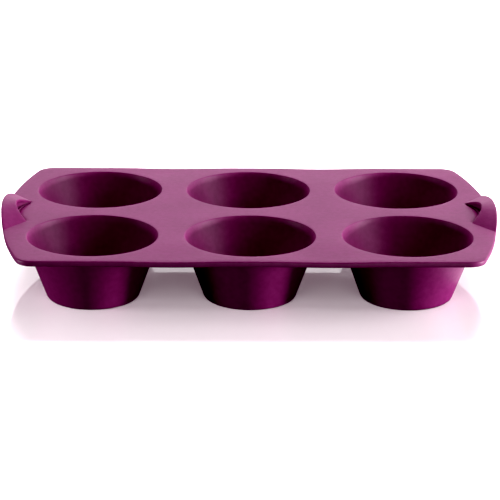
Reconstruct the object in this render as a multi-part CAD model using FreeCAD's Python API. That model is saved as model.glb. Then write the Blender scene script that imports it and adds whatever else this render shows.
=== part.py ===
import FreeCAD, Part
import math
import os
from FreeCAD import Vector

# Six-cup muffin form moulded in soft silicone: two rows of three tapered cups
# hang from one thin deck.  A thicker rim runs round the deck, and at each short
# end a crescent of the deck is raised into a hollow bow to hold: a steep web
# closes it towards the cups, and it is open below and outside for the fingers.
# The real object is one moulding; its regions are modelled as separate pieces
# that meet face to face.  Millimetres, +Z up, +X along the length, the origin
# under the middle of the form on the plane that it stands on.

# ---------------------------------------------------------------- dimensions
COLUMNS = 3                 # cups along X
ROWS = 2                    # cups along Y

# cups
CUP_DEPTH = 34.7            # deck top down to the floor inside a cup
MOUTH_RADIUS = 37.6         # inner cone where it would meet the deck top
FLOOR_RADIUS = 25.0         # inner cone where it would meet the floor
WALL = 1.6                  # thickness of the cone, square to its surface
FLOOR = 1.8                 # thickness of the cup floor
MOUTH_ROUND = 1.2           # rounding from deck into cup
NECK_ROUND = 1.5            # rounding under the deck, outside the cup
INNER_CORNER = 2.4          # rounding from wall to floor, inside
OUTER_CORNER = 3.2          # rounding from wall to base, outside
COLLAR_WIDTH = 3.4          # flat ring round the mouth that belongs to the cup

# deck
DECK = 2.0                  # thickness of the deck
BRIDGE = 8.0                # deck between the collars of neighbouring cups
LONG_MARGIN = 6.3           # from a collar to the long edge
END_MARGIN = 13.1           # from a collar to the middle of the short edge
END_RADIUS = 275.0          # plan radius of the bulging short ends
CORNER_RADIUS = 10.0        # plan radius of the four corners

# rim
RIM_WIDTH = 5.0             # thickened band along the edge
RIM = 3.2                   # thickness of the rim, flush with the deck top
EDGE_ROUND = 0.7            # rounding of the outer edges

# handles
WEB_INSET = 14.5            # from the short end in to the two ends of the web
WEB_HALF = 19.5             # half the distance between the ends of the web
WEB_BULGE = 7.4             # how far the web curves out past its ends
WEB_WALL = 1.8              # thickness of the web along X
FOOT_HALF = 36.0            # half the length of the bow at the outer edge
BOW_INNER_RISE = 6.0        # height of the bow over the deck, at the web
BOW_OUTER_RISE = 7.0        # height of the bow over the deck, at the outer edge
BOW_OVERHANG = 1.2          # how far the bow reaches past the short end
BOW_STATIONS = 12           # points along each half of the bow's curves
CREST_ROUND = 0.8           # rounding from the web on to the bow
GUTTER_ROUND = 1.2          # rounding of the deck where it drops to the web

# ------------------------------------------------------------------- derived
DECK_TOP = FLOOR + CUP_DEPTH
SLOPE = (MOUTH_RADIUS - FLOOR_RADIUS) / CUP_DEPTH
DRAFT = math.atan(SLOPE)
WALL_ACROSS = WALL / math.cos(DRAFT)
COLLAR_RADIUS = MOUTH_RADIUS + COLLAR_WIDTH
PITCH = 2.0 * COLLAR_RADIUS + BRIDGE
HALF_LENGTH = 0.5 * (COLUMNS - 1) * PITCH + COLLAR_RADIUS + END_MARGIN
HALF_WIDTH = 0.5 * (ROWS - 1) * PITCH + COLLAR_RADIUS + LONG_MARGIN
WEB_X = HALF_LENGTH - WEB_INSET
PAST = 5.0                  # how far cutting tools run past what they cut


# ------------------------------------------------------------------- helpers
def rounded_wire(corners):
    """Closed wire in the XZ plane; each corner is (x, z, rounding radius)."""
    count = len(corners)
    trimmed = []
    for i in range(count):
        here = Vector(corners[i][0], 0, corners[i][1])
        before = Vector(corners[i - 1][0], 0, corners[i - 1][1])
        after = Vector(corners[(i + 1) % count][0], 0, corners[(i + 1) % count][1])
        radius = corners[i][2]
        to_before = (before - here).normalize()
        to_after = (after - here).normalize()
        if radius == 0:
            trimmed.append((here, here, here))
            continue
        half = 0.5 * to_before.getAngle(to_after)
        cut_back = radius / math.tan(half)
        bisector = (to_before + to_after).normalize()
        middle = here + bisector * (radius / math.sin(half) - radius)
        trimmed.append((here + to_before * cut_back, middle, here + to_after * cut_back))
    edges = []
    for i in range(count):
        start, middle, end = trimmed[i]
        if start != end:
            edges.append(Part.Arc(start, middle, end).toShape())
        edges.append(Part.LineSegment(end, trimmed[(i + 1) % count][0]).toShape())
    return Part.Wire(edges)


def curve_through(points):
    """One smooth edge through the given points, which are evenly spaced along it."""
    curve = Part.BSplineCurve()
    curve.interpolate(Points=points, Parameters=[float(i) for i in range(len(points))])
    return curve.toShape()


def outline_prism(inset, low, high):
    """Upright block of the tray's outline moved in by inset, from low to high."""
    half_x = HALF_LENGTH - inset
    half_y = HALF_WIDTH - inset
    end_radius = END_RADIUS - inset
    block = Part.makeBox(2 * half_x, 2 * half_y, high - low, Vector(-half_x, -half_y, low))
    for side in (-1, 1):
        centre = Vector(side * (half_x - end_radius), 0, low)
        block = block.common(Part.makeCylinder(end_radius, high - low, centre))
    upright = []
    for edge in block.Edges:
        start = edge.Vertexes[0].Point
        end = edge.Vertexes[-1].Point
        if abs(start.x - end.x) < 1e-6 and abs(start.y - end.y) < 1e-6:
            upright.append(edge)
    return block.makeFillet(CORNER_RADIUS - inset, upright)


def end_x(y):
    """X of the short end's edge at a distance y from the middle."""
    return HALF_LENGTH - END_RADIUS + math.sqrt(END_RADIUS ** 2 - y ** 2)


def hump(share):
    """Height of a bow from 1 in the middle to 0 at its two feet (share = -1..1)."""
    return 1.0 - share ** 2


def shares():
    """Even steps from one foot of the bow to the other."""
    return [i / BOW_STATIONS for i in range(-BOW_STATIONS, BOW_STATIONS + 1)]


def web_point(share, height):
    """Point on the curve that the web follows in plan, at the given height."""
    return Vector(WEB_X + WEB_BULGE * hump(share), WEB_HALF * share, height)


# -------------------------------------------------------------------- pieces
def make_cup(x, y):
    """Tapered cup with floor, wall, rounded mouth and flat collar ring."""
    under = DECK_TOP - DECK
    corners = [
        (0, 0, 0),
        (FLOOR_RADIUS - FLOOR * SLOPE + WALL_ACROSS, 0, OUTER_CORNER),
        (MOUTH_RADIUS - DECK * SLOPE + WALL_ACROSS, under, NECK_ROUND),
        (COLLAR_RADIUS, under, 0),
        (COLLAR_RADIUS, DECK_TOP, 0),
        (MOUTH_RADIUS, DECK_TOP, MOUTH_ROUND),
        (FLOOR_RADIUS, FLOOR, INNER_CORNER),
        (0, FLOOR, 0),
    ]
    profile = Part.Face(rounded_wire(corners))
    cup = profile.revolve(Vector(0, 0, 0), Vector(0, 0, 1), 360)
    cup.translate(Vector(x, y, 0))
    return cup


def cup_centres():
    """Node names and centres of the cups, row by row."""
    centres = []
    for row, row_name in enumerate(("front", "back")):
        for column, column_name in enumerate(("left", "middle", "right")):
            x = (column - 0.5 * (COLUMNS - 1)) * PITCH
            y = (row - 0.5 * (ROWS - 1)) * PITCH
            centres.append(("cup_%s_%s" % (row_name, column_name), x, y))
    return centres


def handle_cutter():
    """Upright block over the right-hand handle: from the web out, foot to foot."""
    low = DECK_TOP - RIM - PAST
    far_x = HALF_LENGTH + BOW_OVERHANG + PAST
    foot_run = end_x(FOOT_HALF) - WEB_X
    far_y = WEB_HALF + (FOOT_HALF - WEB_HALF) * (far_x - WEB_X) / foot_run
    web = [web_point(share, low) for share in shares()]
    edges = [
        curve_through(web),
        Part.LineSegment(web[-1], Vector(far_x, far_y, low)).toShape(),
        Part.LineSegment(Vector(far_x, far_y, low), Vector(far_x, -far_y, low)).toShape(),
        Part.LineSegment(Vector(far_x, -far_y, low), web[0]).toShape(),
    ]
    face = Part.Face(Part.Wire(edges))
    return face.extrude(Vector(0, 0, RIM + 2 * PAST))


def mirrored(shape):
    """The same piece at the other end of the tray."""
    return shape.mirror(Vector(0, 0, 0), Vector(1, 0, 0))


def middle_of(edge):
    """Point halfway along an edge."""
    return edge.valueAt(0.5 * (edge.FirstParameter + edge.LastParameter))


def follows_web(edge, height):
    """True for an edge along a web's whole curve whose middle lies at this height."""
    middle = middle_of(edge)
    long_enough = edge.BoundBox.YLength > 1.9 * WEB_HALF
    in_plan = abs(abs(middle.x) - WEB_X - WEB_BULGE) < 0.01
    return long_enough and in_plan and abs(middle.z - height) < 0.01


def make_deck(cutters):
    """Thin plate with the cups' holes; rounded where it drops to each web."""
    under = DECK_TOP - DECK
    deck = outline_prism(RIM_WIDTH, under, DECK_TOP)
    for name, x, y in cup_centres():
        deck = deck.cut(Part.makeCylinder(COLLAR_RADIUS, DECK, Vector(x, y, under)))
    for cutter in cutters:
        deck = deck.cut(cutter)
    lips = [edge for edge in deck.Edges if follows_web(edge, DECK_TOP)]
    return deck.makeFillet(GUTTER_ROUND, lips)


def make_rims(cutters):
    """Thick edge band with rounded outer edges, in a front and a back run."""
    low = DECK_TOP - RIM
    band = outline_prism(0, low, DECK_TOP)
    outer = [edge for edge in band.Edges if edge.BoundBox.ZLength < 0.01]
    band = band.makeFillet(EDGE_ROUND, outer)
    band = band.cut(outline_prism(RIM_WIDTH, low - PAST, DECK_TOP + PAST))
    for cutter in cutters:
        band = band.cut(cutter)
    runs = sorted(band.Solids, key=lambda solid: solid.CenterOfMass.y)
    return runs[0], runs[-1]


def bow_curves():
    """Three curves of the bow's top: over the web, where the rim starts, outside."""
    crest, step, outer = [], [], []
    for share in shares():
        y = FOOT_HALF * share
        inside = web_point(share, DECK_TOP + BOW_INNER_RISE * hump(share))
        outside = Vector(end_x(y) + BOW_OVERHANG * hump(share), y, DECK_TOP + BOW_OUTER_RISE * hump(share))
        across = outside - inside
        square_to_edge = (across.x * math.sqrt(END_RADIUS ** 2 - y ** 2) + across.y * y) / END_RADIUS
        crest.append(inside)
        step.append(outside - across * (RIM_WIDTH / square_to_edge))
        outer.append(outside)
    return curve_through(crest), curve_through(step), curve_through(outer)


def make_handle():
    """Right-hand handle: bow, thicker along the rim, and the web under its crest."""
    crest, step, outer = bow_curves()
    thin = Part.makeRuledSurface(crest, step).extrude(Vector(0, 0, -DECK))
    thick = Part.makeRuledSurface(step, outer).extrude(Vector(0, 0, -RIM))
    bow = thin.fuse(thick)
    outside = []
    for edge in bow.Edges:
        at_outside = abs(middle_of(edge).x - HALF_LENGTH - BOW_OVERHANG) < 0.05
        if at_outside and edge.BoundBox.YLength > 1.9 * FOOT_HALF:
            outside.append(edge)
    bow = bow.makeFillet(EDGE_ROUND, outside)
    inside = [edge for edge in bow.Edges if follows_web(edge, DECK_TOP + BOW_INNER_RISE)]
    bow = bow.makeFillet(CREST_ROUND, inside)
    low = [web_point(share, DECK_TOP - DECK) for share in shares()]
    high = [web_point(share, DECK_TOP - 0.5 * DECK + BOW_INNER_RISE * hump(share)) for share in shares()]
    web = Part.makeRuledSurface(curve_through(low), curve_through(high)).extrude(Vector(WEB_WALL, 0, 0))
    return bow.fuse(web)


# -------------------------------------------------------------------- output
os.makedirs("parts", exist_ok=True)

right_cutter = handle_cutter()
cutters = [mirrored(right_cutter), right_cutter]
rim_front, rim_back = make_rims(cutters)
handle_right = make_handle()

pieces = {
    "deck": make_deck(cutters),
    "rim_front": rim_front,
    "rim_back": rim_back,
    "handle_left": mirrored(handle_right),
    "handle_right": handle_right,
}
for name, x, y in cup_centres():
    pieces[name] = make_cup(x, y)

for name, shape in pieces.items():
    solid = shape.Solids[0]
    box = solid.BoundBox
    print("%-18s solids %d valid %s volume %.1f  x %.1f..%.1f  y %.1f..%.1f  z %.1f..%.1f" % (
        name, len(shape.Solids), solid.isValid(), solid.Volume,
        box.XMin, box.XMax, box.YMin, box.YMax, box.ZMin, box.ZMax))
    solid.exportStep("parts/%s.step" % name)
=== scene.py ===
import math

import bmesh
import bpy
from mathutils import Matrix, Vector


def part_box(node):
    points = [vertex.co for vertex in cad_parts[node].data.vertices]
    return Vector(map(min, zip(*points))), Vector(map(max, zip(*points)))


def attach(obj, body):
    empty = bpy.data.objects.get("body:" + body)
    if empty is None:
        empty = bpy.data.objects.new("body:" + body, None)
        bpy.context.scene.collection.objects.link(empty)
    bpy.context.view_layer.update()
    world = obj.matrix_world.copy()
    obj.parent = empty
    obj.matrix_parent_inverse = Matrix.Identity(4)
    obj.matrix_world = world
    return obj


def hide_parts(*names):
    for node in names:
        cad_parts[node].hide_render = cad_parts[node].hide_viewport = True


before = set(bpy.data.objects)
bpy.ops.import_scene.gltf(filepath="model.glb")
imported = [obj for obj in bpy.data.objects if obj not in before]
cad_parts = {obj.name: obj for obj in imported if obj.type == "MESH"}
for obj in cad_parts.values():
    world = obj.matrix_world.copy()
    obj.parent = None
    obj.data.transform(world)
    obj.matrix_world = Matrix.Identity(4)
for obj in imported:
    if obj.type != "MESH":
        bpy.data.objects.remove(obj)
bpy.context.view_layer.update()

# ---------------------------------------------------------------------------
# Silicone: the whole form is one moulding in satin platinum silicone, dyed
# plum right through.  Its skin carries the fine blasted grain of the mould, and
# clouds and a smaller mottle where the press has polished it unevenly.
# ---------------------------------------------------------------------------
PLUM = (0.215, 0.018, 0.124, 1.0)
PLUM_CLOUDED = (0.265, 0.029, 0.157, 1.0)
CLOUD_SCALE = 32.0
MOTTLE_SCALE = 330.0
GRAIN_SCALE = 1500.0
GRAIN_HEIGHT = 0.0001
SMOOTH_BELOW = math.radians(38)

silicone = bpy.data.materials.new("plum_silicone")
silicone.use_nodes = True
nodes = silicone.node_tree.nodes
links = silicone.node_tree.links
skin = nodes["Principled BSDF"]
skin.inputs["IOR"].default_value = 1.43
skin.inputs["Specular IOR Level"].default_value = 0.5
place = nodes.new("ShaderNodeTexCoord")


def noise(scale, detail):
    """Noise that runs right through the silicone, as the output of its texture node."""
    texture = nodes.new("ShaderNodeTexNoise")
    texture.inputs["Scale"].default_value = scale
    texture.inputs["Detail"].default_value = detail
    links.new(place.outputs["Object"], texture.inputs["Vector"])
    return texture.outputs["Fac"]


both = nodes.new("ShaderNodeMath")
both.operation = "ADD"
links.new(noise(CLOUD_SCALE, 3.0), both.inputs[0])
links.new(noise(MOTTLE_SCALE, 4.0), both.inputs[1])
spread = nodes.new("ShaderNodeMapRange")
spread.inputs["From Min"].default_value = 0.75
spread.inputs["From Max"].default_value = 1.25
links.new(both.outputs["Value"], spread.inputs["Value"])
tint = nodes.new("ShaderNodeMix")
tint.data_type = "RGBA"
tint.inputs["A"].default_value = PLUM
tint.inputs["B"].default_value = PLUM_CLOUDED
links.new(spread.outputs["Result"], tint.inputs["Factor"])
links.new(tint.outputs["Result"], skin.inputs["Base Color"])

grain = noise(GRAIN_SCALE, 2.0)
satin = nodes.new("ShaderNodeMapRange")
satin.inputs["To Min"].default_value = 0.40
satin.inputs["To Max"].default_value = 0.52
links.new(grain, satin.inputs["Value"])
links.new(satin.outputs["Result"], skin.inputs["Roughness"])
relief = nodes.new("ShaderNodeBump")
relief.inputs["Strength"].default_value = 0.25
relief.inputs["Distance"].default_value = GRAIN_HEIGHT
links.new(grain, relief.inputs["Height"])
links.new(relief.outputs["Normal"], skin.inputs["Normal"])


def only(piece):
    """Selects one piece and nothing else, in object mode."""
    bpy.ops.object.select_all(action="DESELECT")
    piece.select_set(True)
    bpy.context.view_layer.objects.active = piece


def droop(x, y):
    """How far the soft deck hangs: its edge between two cups, and its right-hand end."""
    end = min(max((x - 0.095) / 0.049, 0.0), 1.0) ** 2 * max(1.0 - (y / 0.078) ** 2, 0.0)
    out = min(max((abs(y) - 0.055) / 0.035, 0.0), 1.0)
    between = min(abs(abs(x) - 0.045) / 0.036, 1.0)
    edge = out * out * (3 - 2 * out) * (0.5 + 0.5 * math.cos(math.pi * between))
    return 0.0008 * end + 0.0005 * edge


def finish_piece(piece, *cad_nodes):
    """Seats a finished piece: soft droop, silicone skin, smooth shading and body."""
    only(piece)
    bpy.ops.object.transform_apply(location=True, rotation=True, scale=True)
    for vertex in piece.data.vertices:
        x, y, z = vertex.co
        vertex.co.z = z - droop(x, y) * min(z / 0.036, 1.0)
    bpy.ops.object.shade_smooth_by_angle(angle=SMOOTH_BELOW)
    piece.data.materials.clear()
    piece.data.materials.append(silicone)
    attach(piece, "root")
    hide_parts(*cad_nodes)


# ---------------------------------------------------------------------------
# Cups: six tapered cups, each moulded in one with a flat ring of deck round
# its mouth.  The skin is pulled ring by ring from the middle of the floor, up
# the inside, over the rounded mouth and down the outside to the base.
# ---------------------------------------------------------------------------
CUP_NODES = ["cup_%s_%s" % (row, column)
             for row in ("front", "back") for column in ("left", "middle", "right")]
CUP_RING = 128
FLOOR_TOP = 0.0018
FLOOR_RADIUS = 0.0250
MOUTH_RADIUS = 0.0376
WALL = 0.0016
MOUTH_ROUND = 0.0006
INNER_CORNER = 0.0024
OUTER_CORNER = 0.0032
NECK_ROUND = 0.0015

deck_low, deck_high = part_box("deck")
TOP = deck_high.z
UNDER = deck_low.z
first_low, first_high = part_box(CUP_NODES[0])
COLLAR = 0.5 * (first_high.x - first_low.x)
TAPER = (MOUTH_RADIUS - FLOOR_RADIUS) / (TOP - FLOOR_TOP)
WALL_ACROSS = WALL * math.sqrt(1.0 + TAPER ** 2)


def rounded(before, corner, after, radius, steps):
    """Points of an arc of that radius where two straight runs of a profile meet."""
    to_before = (Vector(before) - Vector(corner)).normalized()
    to_after = (Vector(after) - Vector(corner)).normalized()
    half = 0.5 * to_before.angle(to_after)
    centre = Vector(corner) + (to_before + to_after).normalized() * (radius / math.sin(half))
    start = Vector(corner) + to_before * (radius / math.tan(half)) - centre
    end = Vector(corner) + to_after * (radius / math.tan(half)) - centre
    sweep = start.angle(end)
    return [tuple(centre + (start * math.sin(sweep * (1 - i / steps))
                            + end * math.sin(sweep * i / steps)) / math.sin(sweep))
            for i in range(steps + 1)]


def ramp(start, end, steps):
    """Points between two points of a profile, without the points themselves."""
    return [tuple(Vector(start).lerp(Vector(end), i / steps)) for i in range(1, steps)]


floor_in = (FLOOR_RADIUS, FLOOR_TOP)
mouth_in = (MOUTH_RADIUS, TOP)
base_out = (FLOOR_RADIUS - FLOOR_TOP * TAPER + WALL_ACROSS, 0.0)
neck_out = (MOUTH_RADIUS - (TOP - UNDER) * TAPER + WALL_ACROSS, UNDER)
inner_corner = rounded((0, FLOOR_TOP), floor_in, mouth_in, INNER_CORNER, 6)
mouth_round = rounded(floor_in, mouth_in, (COLLAR, TOP), MOUTH_ROUND, 8)
neck_round = rounded((COLLAR, UNDER), neck_out, base_out, NECK_ROUND, 6)
outer_corner = rounded(neck_out, base_out, (0, 0), OUTER_CORNER, 8)
profile = (
    [(0.0008, FLOOR_TOP), (0.008, FLOOR_TOP), (0.016, FLOOR_TOP)]
    + inner_corner + ramp(inner_corner[-1], mouth_round[0], 12)
    + mouth_round + [(COLLAR, TOP), (COLLAR, UNDER)]
    + neck_round + ramp(neck_round[-1], outer_corner[0], 12)
    + outer_corner + [(0.016, 0), (0.008, 0), (0.0008, 0)]
)

bpy.ops.object.select_all(action="DESELECT")
middle = Vector((0.5 * (first_low.x + first_high.x), 0.5 * (first_low.y + first_high.y), 0))
bpy.ops.mesh.primitive_circle_add(vertices=CUP_RING, radius=profile[0][0], fill_type="NGON",
                                  location=(middle.x, middle.y, profile[0][1]))
cup = bpy.context.object
cup.name = "form_" + CUP_NODES[0]
bpy.ops.object.transform_apply(location=True, rotation=True, scale=True)
bpy.ops.object.mode_set(mode="EDIT")
bpy.ops.mesh.select_mode(type="EDGE")
bpy.ops.mesh.select_all(action="SELECT")
bpy.ops.mesh.region_to_loop()
for (radius, height), (next_radius, next_height) in zip(profile, profile[1:]):
    bpy.ops.mesh.extrude_edges_move(
        TRANSFORM_OT_translate={"value": (0, 0, next_height - height)})
    grow = next_radius / radius
    bpy.ops.transform.resize(value=(grow, grow, 1), center_override=(middle.x, middle.y, 0))
bpy.ops.mesh.edge_face_add()
bpy.ops.mesh.select_all(action="SELECT")
bpy.ops.mesh.normals_make_consistent(inside=False)
bpy.ops.object.mode_set(mode="OBJECT")

cups = [cup]
for node in CUP_NODES[1:]:
    low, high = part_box(node)
    only(cup)
    bpy.ops.object.duplicate(linked=False)
    copy = bpy.context.object
    copy.name = "form_" + node
    copy.location = (0.5 * (low.x + high.x) - middle.x, 0.5 * (low.y + high.y) - middle.y, 0)
    cups.append(copy)
for piece, node in zip(cups, CUP_NODES):
    finish_piece(piece, node)


# ---------------------------------------------------------------------------
# Rim: a band of thicker silicone round the edge of the deck, flush on top and
# standing a little below it underneath.  It is drawn as one closed outline with
# bulging ends, and trimmed to a front and a back run at the feet of the handles.
# ---------------------------------------------------------------------------
RIM_WIDTH = 0.005
EDGE_ROUND = 0.0009
END_RADIUS = 0.275
CORNER_RADIUS = 0.010
END_X = 0.1441
WEB_X = 0.1296
WEB_HALF = 0.0195
FOOT_HALF = 0.0360

rim_low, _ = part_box("rim_front")
EDGE_Y = -rim_low.y
RIM_UNDER = rim_low.z
ARC_X = END_X - END_RADIUS
corner_y = EDGE_Y - CORNER_RADIUS
corner_x = ARC_X + math.sqrt((END_RADIUS - CORNER_RADIUS) ** 2 - corner_y ** 2)
turn = math.asin(corner_y / (END_RADIUS - CORNER_RADIUS))


def end_and_edge(inset, start):
    """Edge points moved in by inset, from an angle on the right end to the middle of the back."""
    points = []
    for i in range(36):
        a = start + (turn - start) * i / 36
        points.append((ARC_X + (END_RADIUS - inset) * math.cos(a),
                       (END_RADIUS - inset) * math.sin(a)))
    for i in range(14):
        a = turn + (0.5 * math.pi - turn) * i / 14
        points.append((corner_x + (CORNER_RADIUS - inset) * math.cos(a),
                       corner_y + (CORNER_RADIUS - inset) * math.sin(a)))
    for i in range(49):
        points.append((corner_x * (1 - i / 48), EDGE_Y - inset))
    return points


def all_round(quarter):
    """Closed outline from the quarter between the middle of the right end and of the back."""
    return (quarter + [(-x, y) for x, y in quarter[-2::-1]]
            + [(-x, -y) for x, y in quarter[1:]] + [(x, -y) for x, y in quarter[-2:0:-1]])


def outline_plate(name, outline):
    """Flat plate inside a closed outline, one face, level with the deck's top."""
    bpy.ops.object.select_all(action="DESELECT")
    bpy.ops.mesh.primitive_circle_add(vertices=len(outline), radius=0.1, fill_type="NGON")
    plate = bpy.context.object
    plate.name = name
    for vertex, (x, y) in zip(plate.data.vertices, outline):
        vertex.co = (x, y, TOP)
    return plate


def trim(plane_point, plane_normal):
    """Cuts the piece being edited along a plane and closes the cut; keeps the back of it."""
    bpy.ops.mesh.select_all(action="SELECT")
    bpy.ops.mesh.bisect(plane_co=plane_point, plane_no=plane_normal,
                        use_fill=True, clear_outer=True)


def select_where(piece, kind, test):
    """Selects the faces or edges of a piece being edited whose middle passes the test."""
    bpy.ops.mesh.select_mode(type=kind)
    bpy.ops.mesh.select_all(action="DESELECT")
    mesh = bmesh.from_edit_mesh(piece.data)
    for item in (mesh.faces if kind == "FACE" else mesh.edges):
        spot = sum((corner.co for corner in item.verts), Vector()) / len(item.verts)
        if test(spot, item):
            item.select_set(True)
    bmesh.update_edit_mesh(piece.data)


foot_run = ARC_X + math.sqrt(END_RADIUS ** 2 - FOOT_HALF ** 2) - WEB_X
foot_across = Vector((FOOT_HALF - WEB_HALF, -foot_run, 0)).normalized()

rim = outline_plate("form_rim_front", all_round(end_and_edge(0, 0)))
bpy.ops.object.mode_set(mode="EDIT")
bpy.ops.mesh.select_mode(type="FACE")
bpy.ops.mesh.select_all(action="SELECT")
bpy.ops.mesh.inset(thickness=RIM_WIDTH, use_even_offset=True)
bpy.ops.mesh.delete(type="FACE")
bpy.ops.mesh.select_all(action="SELECT")
bpy.ops.mesh.extrude_region_move(TRANSFORM_OT_translate={"value": (0, 0, RIM_UNDER - TOP)})
bpy.ops.mesh.select_all(action="SELECT")
bpy.ops.mesh.normals_make_consistent(inside=False)


def on_outer_edge(spot, edge):
    """True for the edges that run along the outside of the rim, above and below."""
    along = abs(edge.verts[0].co.z - edge.verts[1].co.z) < 1e-6
    outside = [face for face in edge.link_faces
               if abs(face.normal.z) < 0.5 and face.normal.dot(spot) > 0]
    return along and len(outside) == 1


select_where(rim, "EDGE", on_outer_edge)
bpy.ops.mesh.bevel(offset=EDGE_ROUND, segments=5, profile=0.5, affect="EDGES",
                   clamp_overlap=False)
bpy.ops.object.mode_set(mode="OBJECT")

only(rim)
bpy.ops.object.duplicate(linked=False)
rim_back = bpy.context.object
rim_back.name = "form_rim_back"
for piece, side in ((rim, -1), (rim_back, 1)):
    only(piece)
    bpy.ops.object.mode_set(mode="EDIT")
    trim((0, 0, 0), (0, -side, 0))
    for end in (-1, 1):
        trim((end * WEB_X, side * WEB_HALF, 0), (end * foot_across.x, side * foot_across.y, 0))
    bpy.ops.object.mode_set(mode="OBJECT")
finish_piece(rim, "rim_front")
finish_piece(rim_back, "rim_back")


# ---------------------------------------------------------------------------
# Deck: the thin sheet between the cups, with a round opening for each collar.
# At each end a rounded tongue of it rolls down into a narrow gutter along the
# handle.  A plate is ruled into cells, thickened, and the openings are cut out.
# ---------------------------------------------------------------------------
WEB_BULGE = 0.0074
LEDGE = 0.0011
CELL = 0.004
ROLL_WIDTH = 0.0034
ROLL_DEPTH = 0.0017
EDGE_BANDS = (0.0003, 0.0004, 0.0005, 0.0006, 0.0008, 0.0012)


def hump(share):
    """1 in the middle of a handle, falling to 0 at its two feet."""
    return max(1.0 - share * share, 0.0)


gap = Vector((WEB_X - ARC_X, WEB_HALF))
away = Vector((foot_run, FOOT_HALF - WEB_HALF)).normalized()
reach = (math.sqrt(gap.dot(away) ** 2 - gap.dot(gap) + (END_RADIUS - RIM_WIDTH) ** 2)
         - gap.dot(away))
foot_angle = math.atan2(gap.y + away.y * reach, gap.x + away.x * reach)
tongue = [(WEB_X + (WEB_BULGE - LEDGE) * hump(i / 24), WEB_HALF * i / 24) for i in range(25)]
tongue += [(WEB_X + away.x * reach * i / 8, WEB_HALF + away.y * reach * i / 8)
           for i in range(1, 8)]

deck = outline_plate("form_deck", all_round(tongue + end_and_edge(RIM_WIDTH, foot_angle)))
bpy.ops.object.mode_set(mode="EDIT")
bpy.ops.mesh.select_mode(type="FACE")
bpy.ops.mesh.select_all(action="SELECT")
for width in EDGE_BANDS:
    bpy.ops.mesh.inset(thickness=width, use_even_offset=True)
bpy.ops.mesh.select_all(action="SELECT")
bpy.ops.mesh.extrude_region_move(TRANSFORM_OT_translate={"value": (0, 0, UNDER - TOP)})
bpy.ops.mesh.select_all(action="SELECT")
bpy.ops.mesh.normals_make_consistent(inside=False)
for i in range(-35, 36):
    bpy.ops.mesh.select_all(action="SELECT")
    bpy.ops.mesh.bisect(plane_co=(i * CELL, 0, 0), plane_no=(1, 0, 0))
for i in range(-21, 22):
    bpy.ops.mesh.select_all(action="SELECT")
    bpy.ops.mesh.bisect(plane_co=(0, i * CELL, 0), plane_no=(0, 1, 0))
bpy.ops.object.mode_set(mode="OBJECT")

punches = []
for node in CUP_NODES:
    low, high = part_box(node)
    bpy.ops.object.select_all(action="DESELECT")
    bpy.ops.mesh.primitive_cylinder_add(
        vertices=CUP_RING, radius=COLLAR, depth=0.006,
        location=(0.5 * (low.x + high.x), 0.5 * (low.y + high.y), 0.5 * (UNDER + TOP)))
    punches.append(bpy.context.object)
for punch in punches:
    punch.select_set(True)
bpy.ops.object.join()
only(deck)
cut = deck.modifiers.new("openings", "BOOLEAN")
cut.operation = "DIFFERENCE"
cut.solver = "EXACT"
cut.object = punches[-1]
bpy.ops.object.modifier_apply(modifier="openings")
bpy.data.objects.remove(punches[-1])

for vertex in deck.data.vertices:
    x, y, z = vertex.co
    share = y / WEB_HALF
    if z < TOP - 1e-6 or abs(share) >= 1.0:
        continue
    lean = math.atan(2 * (WEB_BULGE - LEDGE) * abs(share) / WEB_HALF)
    inward = (WEB_X + (WEB_BULGE - LEDGE) * hump(share) - abs(x)) * math.cos(lean)
    if inward < ROLL_WIDTH:
        across = 1.0 - max(inward, 0.0) / ROLL_WIDTH
        depth = ROLL_DEPTH * min(hump(share) / 0.4, 1.0)
        vertex.co.z = TOP - depth * (1.0 - math.sqrt(1.0 - across * across))
finish_piece(deck, "deck")


# ---------------------------------------------------------------------------
# Handles: between its feet the end of the form is bowed up over the deck, thin
# inside and rim-thick outside.  A steep web closes the bow from a shallow pocket,
# behind a thin lip in the gutter.  The section is swept from foot to foot.
# ---------------------------------------------------------------------------
LEDGE_DROP = 0.0003
WEB_WALL = 0.0018
POCKET = 0.0026
LIP_STANDS = 0.0009
INNER_RISE = 0.0060
OUTER_RISE = 0.0070
OVERHANG = 0.0012
RIGHT_LOWER = 0.08
ALONG = 72
OUTER_TOP = 7
DECK_THICK = TOP - UNDER
RIM_THICK = TOP - RIM_UNDER


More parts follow.
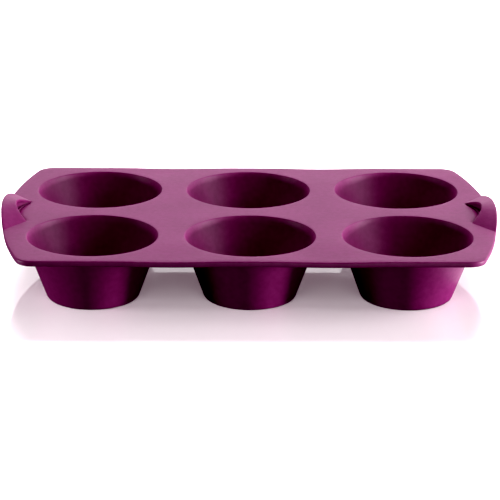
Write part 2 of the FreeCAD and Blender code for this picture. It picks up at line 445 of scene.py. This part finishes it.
def handle_section(share):
    """Points round the right-hand handle's section at that share of its length."""
    y = FOOT_HALF * share
    end = math.sqrt(END_RADIUS ** 2 - y ** 2)
    inside = Vector((WEB_X + WEB_BULGE * hump(share), WEB_HALF * share, 0))
    outside = Vector((ARC_X + end + OVERHANG * hump(share), y, 0))
    run = outside - inside
    width = run.length
    run.normalize()
    thick_from = width - RIM_WIDTH * END_RADIUS / (run.x * end + run.y * y)
    crest = TOP + INNER_RISE * hump(share)
    rise = (OUTER_RISE - INNER_RISE) * hump(share) / width
    ledge = LEDGE * max(hump(share), 0.08)
    foot = TOP - LEDGE_DROP * max(min(hump(share) / 0.4, 1.0), 0.15)
    back_in = POCKET * max(hump(share), 0.05)
    dip = LIP_STANDS * max(hump(share), 0.05)
    lip = min(0.8 * DECK_THICK, 0.5 * (crest - foot))
    web_back = back_in + WEB_WALL
    web_top = max(crest + rise * web_back - DECK_THICK, UNDER + 0.0003)
    corners = [
        (-ledge, foot, 0.25 * ledge, 3),
        (0, foot, min(0.25 * ledge, 0.4 * dip), 3),
        (0, foot - dip, 0.2 * dip, 2),
        (back_in, foot - dip, 0.2 * back_in, 3),
        (back_in, crest - lip, 0.2 * back_in, 2),
        (0, crest - lip, min(0.0003, 0.3 * lip), 2),
        (0, crest, min(0.0006, 0.45 * lip), 6),
        (width, crest + rise * width, EDGE_ROUND, 6),
        (width, crest + rise * width - RIM_THICK, EDGE_ROUND, 6),
        (thick_from, crest + rise * thick_from - RIM_THICK, 0.0003, 2),
        (thick_from, crest + rise * thick_from - DECK_THICK, 0.0003, 2),
        (web_back, web_top, min(0.0007, 0.45 * (web_top - UNDER)), 4),
        (web_back, UNDER, 0.0001, 2),
        (-ledge, UNDER, 0.0001, 2),
    ]
    spots = []
    for i, (u, z, radius, steps) in enumerate(corners):
        before = corners[i - 1][:2]
        after = corners[(i + 1) % len(corners)][:2]
        bend = rounded(before, (u, z), after, radius, steps)
        if i == OUTER_TOP:
            spots += ramp(spots[-1], bend[0], 8)
        spots += bend
    return [inside + (run if u > 0 else Vector((1, 0, 0))) * u + Vector((0, 0, z))
            for u, z in spots]


sections = [handle_section(2.0 * i / ALONG - 1.0) for i in range(ALONG + 1)]
corner_count = len(sections[0])
bpy.ops.object.select_all(action="DESELECT")
bpy.ops.mesh.primitive_circle_add(vertices=corner_count, radius=1, fill_type="NGON")
handle = bpy.context.object
handle.name = "form_handle_right"
bpy.ops.object.mode_set(mode="EDIT")
bpy.ops.mesh.select_mode(type="EDGE")
bpy.ops.mesh.select_all(action="SELECT")
bpy.ops.mesh.region_to_loop()
for i in range(ALONG):
    bpy.ops.mesh.extrude_edges_move(TRANSFORM_OT_translate={"value": (0, 0, 1)})
bpy.ops.mesh.edge_face_add()
bpy.ops.object.mode_set(mode="OBJECT")
for vertex in handle.data.vertices:
    turned = math.atan2(vertex.co.x, vertex.co.y) / (2 * math.pi)
    corner = round(turned * corner_count) % corner_count
    vertex.co = sections[round(vertex.co.z)][corner]

only(handle)
bpy.ops.object.duplicate(linked=False)
handle_left = bpy.context.object
handle_left.name = "form_handle_left"
bpy.ops.transform.resize(value=(-1, 1, 1), center_override=(0, 0, 0))
bpy.ops.object.transform_apply(location=True, rotation=True, scale=True)
for piece in (handle, handle_left):
    only(piece)
    bpy.ops.object.mode_set(mode="EDIT")
    bpy.ops.mesh.select_all(action="SELECT")
    bpy.ops.mesh.normals_make_consistent(inside=False)
    bpy.ops.object.mode_set(mode="OBJECT")
for vertex in handle.data.vertices:
    vertex.co.z -= RIGHT_LOWER * max(vertex.co.z - TOP, 0.0)
finish_piece(handle, "handle_right")
finish_piece(handle_left, "handle_left")


# ---------------------------------------------------------------------------
# Studio: a glossy white table with a faint painted mauve glow, which lifts the
# shade under the form as light bounced off the plum silicone would, a low bright
# backdrop behind it, and lamps all round.  None of the lamps is seen directly, and
# three washes light the table alone.
# ---------------------------------------------------------------------------
MIDDLE = (0, 0, 0.03)
NEAR_MIDDLE = (0.05, 0, 0.03)
KEY_PLACE = (1.01, -0.16, 0.58)
KEY_SIZE = (0.7, 0.5)

bpy.ops.object.select_all(action="DESELECT")
bpy.ops.mesh.primitive_plane_add(size=12, location=(0, 0, 0))
table = bpy.context.object
table.name = "table_top"
gloss = bpy.data.materials.new("white_table")
gloss.use_nodes = True
acrylic = gloss.node_tree.nodes["Principled BSDF"]
acrylic.inputs["Base Color"].default_value = (0.92, 0.84, 0.88, 1)
acrylic.inputs["Roughness"].default_value = 0.03
acrylic.inputs["Specular IOR Level"].default_value = 0.6
# Painted light: the table glows faintly mauve everywhere, lifting the shade under the form in
# place of light bounced off the plum silicone.
acrylic.inputs["Emission Color"].default_value = (1.0, 0.72, 0.85, 1)
acrylic.inputs["Emission Strength"].default_value = 0.17
table.data.materials.append(gloss)
table.visible_diffuse = False
table.visible_glossy = False
table_alone = bpy.data.collections.new("table_alone")
table_alone.objects.link(table)

room = bpy.data.worlds.new("room")
bpy.context.scene.world = room
room.use_nodes = True
room_nodes = room.node_tree.nodes
room_links = room.node_tree.links


def ranged(value, low, high, start, end, kind):
    """Runs from start to end while the value runs from low to high."""
    node = room_nodes.new("ShaderNodeMapRange")
    node.interpolation_type = kind
    node.inputs["From Min"].default_value = low
    node.inputs["From Max"].default_value = high
    node.inputs["To Min"].default_value = start
    node.inputs["To Max"].default_value = end
    room_links.new(value, node.inputs["Value"])
    return node.outputs["Result"]


def product(one, other):
    """One value times the other."""
    node = room_nodes.new("ShaderNodeMath")
    node.operation = "MULTIPLY"
    room_links.new(one, node.inputs[0])
    room_links.new(other, node.inputs[1])
    return node.outputs["Value"]


look = room_nodes.new("ShaderNodeTexCoord")
toward = room_nodes.new("ShaderNodeVectorMath")
toward.operation = "DOT_PRODUCT"
toward.inputs[1].default_value = (0.60, 0.80, 0.0)
room_links.new(look.outputs["Generated"], toward.inputs[0])
bright = ranged(toward.outputs["Value"], -0.05, 1.0, 0.0, 1.85, "SMOOTHSTEP")
height = room_nodes.new("ShaderNodeSeparateXYZ")
room_links.new(look.outputs["Generated"], height.inputs["Vector"])
horizon = ranged(height.outputs["Z"], -0.02, 0.02, 0.0, 1.0, "LINEAR")
backdrop = ranged(height.outputs["Z"], 0.40, 0.62, 1.0, 0.10, "SMOOTHSTEP")
rays = room_nodes.new("ShaderNodeLightPath")
shown = room_nodes.new("ShaderNodeMix")
shown.inputs["B"].default_value = 1.1
room_links.new(rays.outputs["Is Camera Ray"], shown.inputs["Factor"])
room_links.new(product(bright, product(horizon, backdrop)), shown.inputs["A"])
room_links.new(shown.outputs["Result"], room_nodes["Background"].inputs["Strength"])
room_nodes["Background"].inputs["Color"].default_value = (1, 1, 1, 1)


def softbox(name, place, aim, size, power):
    """Rectangular area light at a place, turned to a point and not seen directly."""
    lamp = bpy.data.lights.new(name, "AREA")
    lamp.shape = "RECTANGLE"
    lamp.size, lamp.size_y = size
    lamp.energy = power
    holder = bpy.data.objects.new(name, lamp)
    bpy.context.collection.objects.link(holder)
    holder.location = place
    holder.rotation_euler = (Vector(aim) - Vector(place)).to_track_quat("-Z", "Y").to_euler()
    holder.visible_camera = False
    return holder


softbox("key_right", KEY_PLACE, MIDDLE, KEY_SIZE, 5.2)
side = softbox("key_right_matt", KEY_PLACE, MIDDLE, KEY_SIZE, 4.6)
back = softbox("key_back", (0.05, 1.45, 0.78), MIDDLE, (0.9, 0.4), 45.0)
softbox("strip_right", (1.00, -0.17, 0.05), NEAR_MIDDLE, (0.10, 0.10), 13.0)
softbox("strip_front", (0.20, -0.90, 0.05), NEAR_MIDDLE, (0.4, 0.08), 1.35)
glow = softbox("table_glow_right", (0.19, 0.02, 0.002), (0.19, 0.02, 1.0), (0.12, 0.25), 0.16)
fill = softbox("fill_left", (-1.00, 0.10, 0.70), MIDDLE, (0.5, 0.4), 2.0)
softbox("strip_left", (-1.00, -0.1, 0.05), (-0.1, 0, 0.03), (0.25, 0.10), 5.5)
wash = softbox("table_wash", (-0.10, -1.50, 0.85), (-0.05, -0.2, 0), (1.6, 0.7), 21.0)
wash_top = softbox("table_wash_top", (0.05, 0.95, 1.10), (0, -0.2, 0), (1.0, 0.5), 52.0)
wash_left = softbox("table_wash_left", (-1.20, -0.35, 0.50), (-0.45, -0.15, 0), (0.6, 0.4), 8.0)
glow.visible_diffuse = False
for lamp in (side, back, fill):
    lamp.visible_glossy = False
for lamp in (wash, wash_top, wash_left):
    lamp.light_linking.receiver_collection = table_alone

camera_data = bpy.data.cameras.new("camera")
camera = bpy.data.objects.new("camera", camera_data)
bpy.context.collection.objects.link(camera)
bpy.context.scene.camera = camera
YAW = math.radians(0.9152)
TILT = math.radians(18.4159)
ROLL = math.radians(0.4311)
AIM = Vector((-0.00046, -0.07136, TOP))
DISTANCE = 1.24694
FILM_WIDTH = 36.0
LENS = 160.41816
forward = Vector((math.sin(YAW) * math.cos(TILT), math.cos(YAW) * math.cos(TILT),
                  -math.sin(TILT)))
level = Vector((math.cos(YAW), -math.sin(YAW), 0))
upward = level.cross(forward)
across = math.cos(ROLL) * level + math.sin(ROLL) * upward
above = -math.sin(ROLL) * level + math.cos(ROLL) * upward
eye = AIM - forward * DISTANCE
camera.matrix_world = Matrix([[across.x, above.x, -forward.x, eye.x],
                              [across.y, above.y, -forward.y, eye.y],
                              [across.z, above.z, -forward.z, eye.z],
                              [0, 0, 0, 1]])
camera_data.sensor_width = FILM_WIDTH
camera_data.lens = LENS
camera_data.clip_start = 0.05
camera_data.clip_end = 50

# A crisp tone: the deepest shades are drawn down to black, the light ones stay.
SHADES = ((0.013, 0.0), (0.03, 0.0068), (0.06, 0.026), (0.12, 0.077), (0.25, 0.203), (0.5, 0.456))
print_look = bpy.context.scene.view_settings
print_look.view_transform = "Standard"
print_look.use_curve_mapping = True
shades = print_look.curve_mapping.curves[3].points
for shade_in, shade_out in SHADES:
    shades.new(shade_in, shade_out)
print_look.curve_mapping.update()
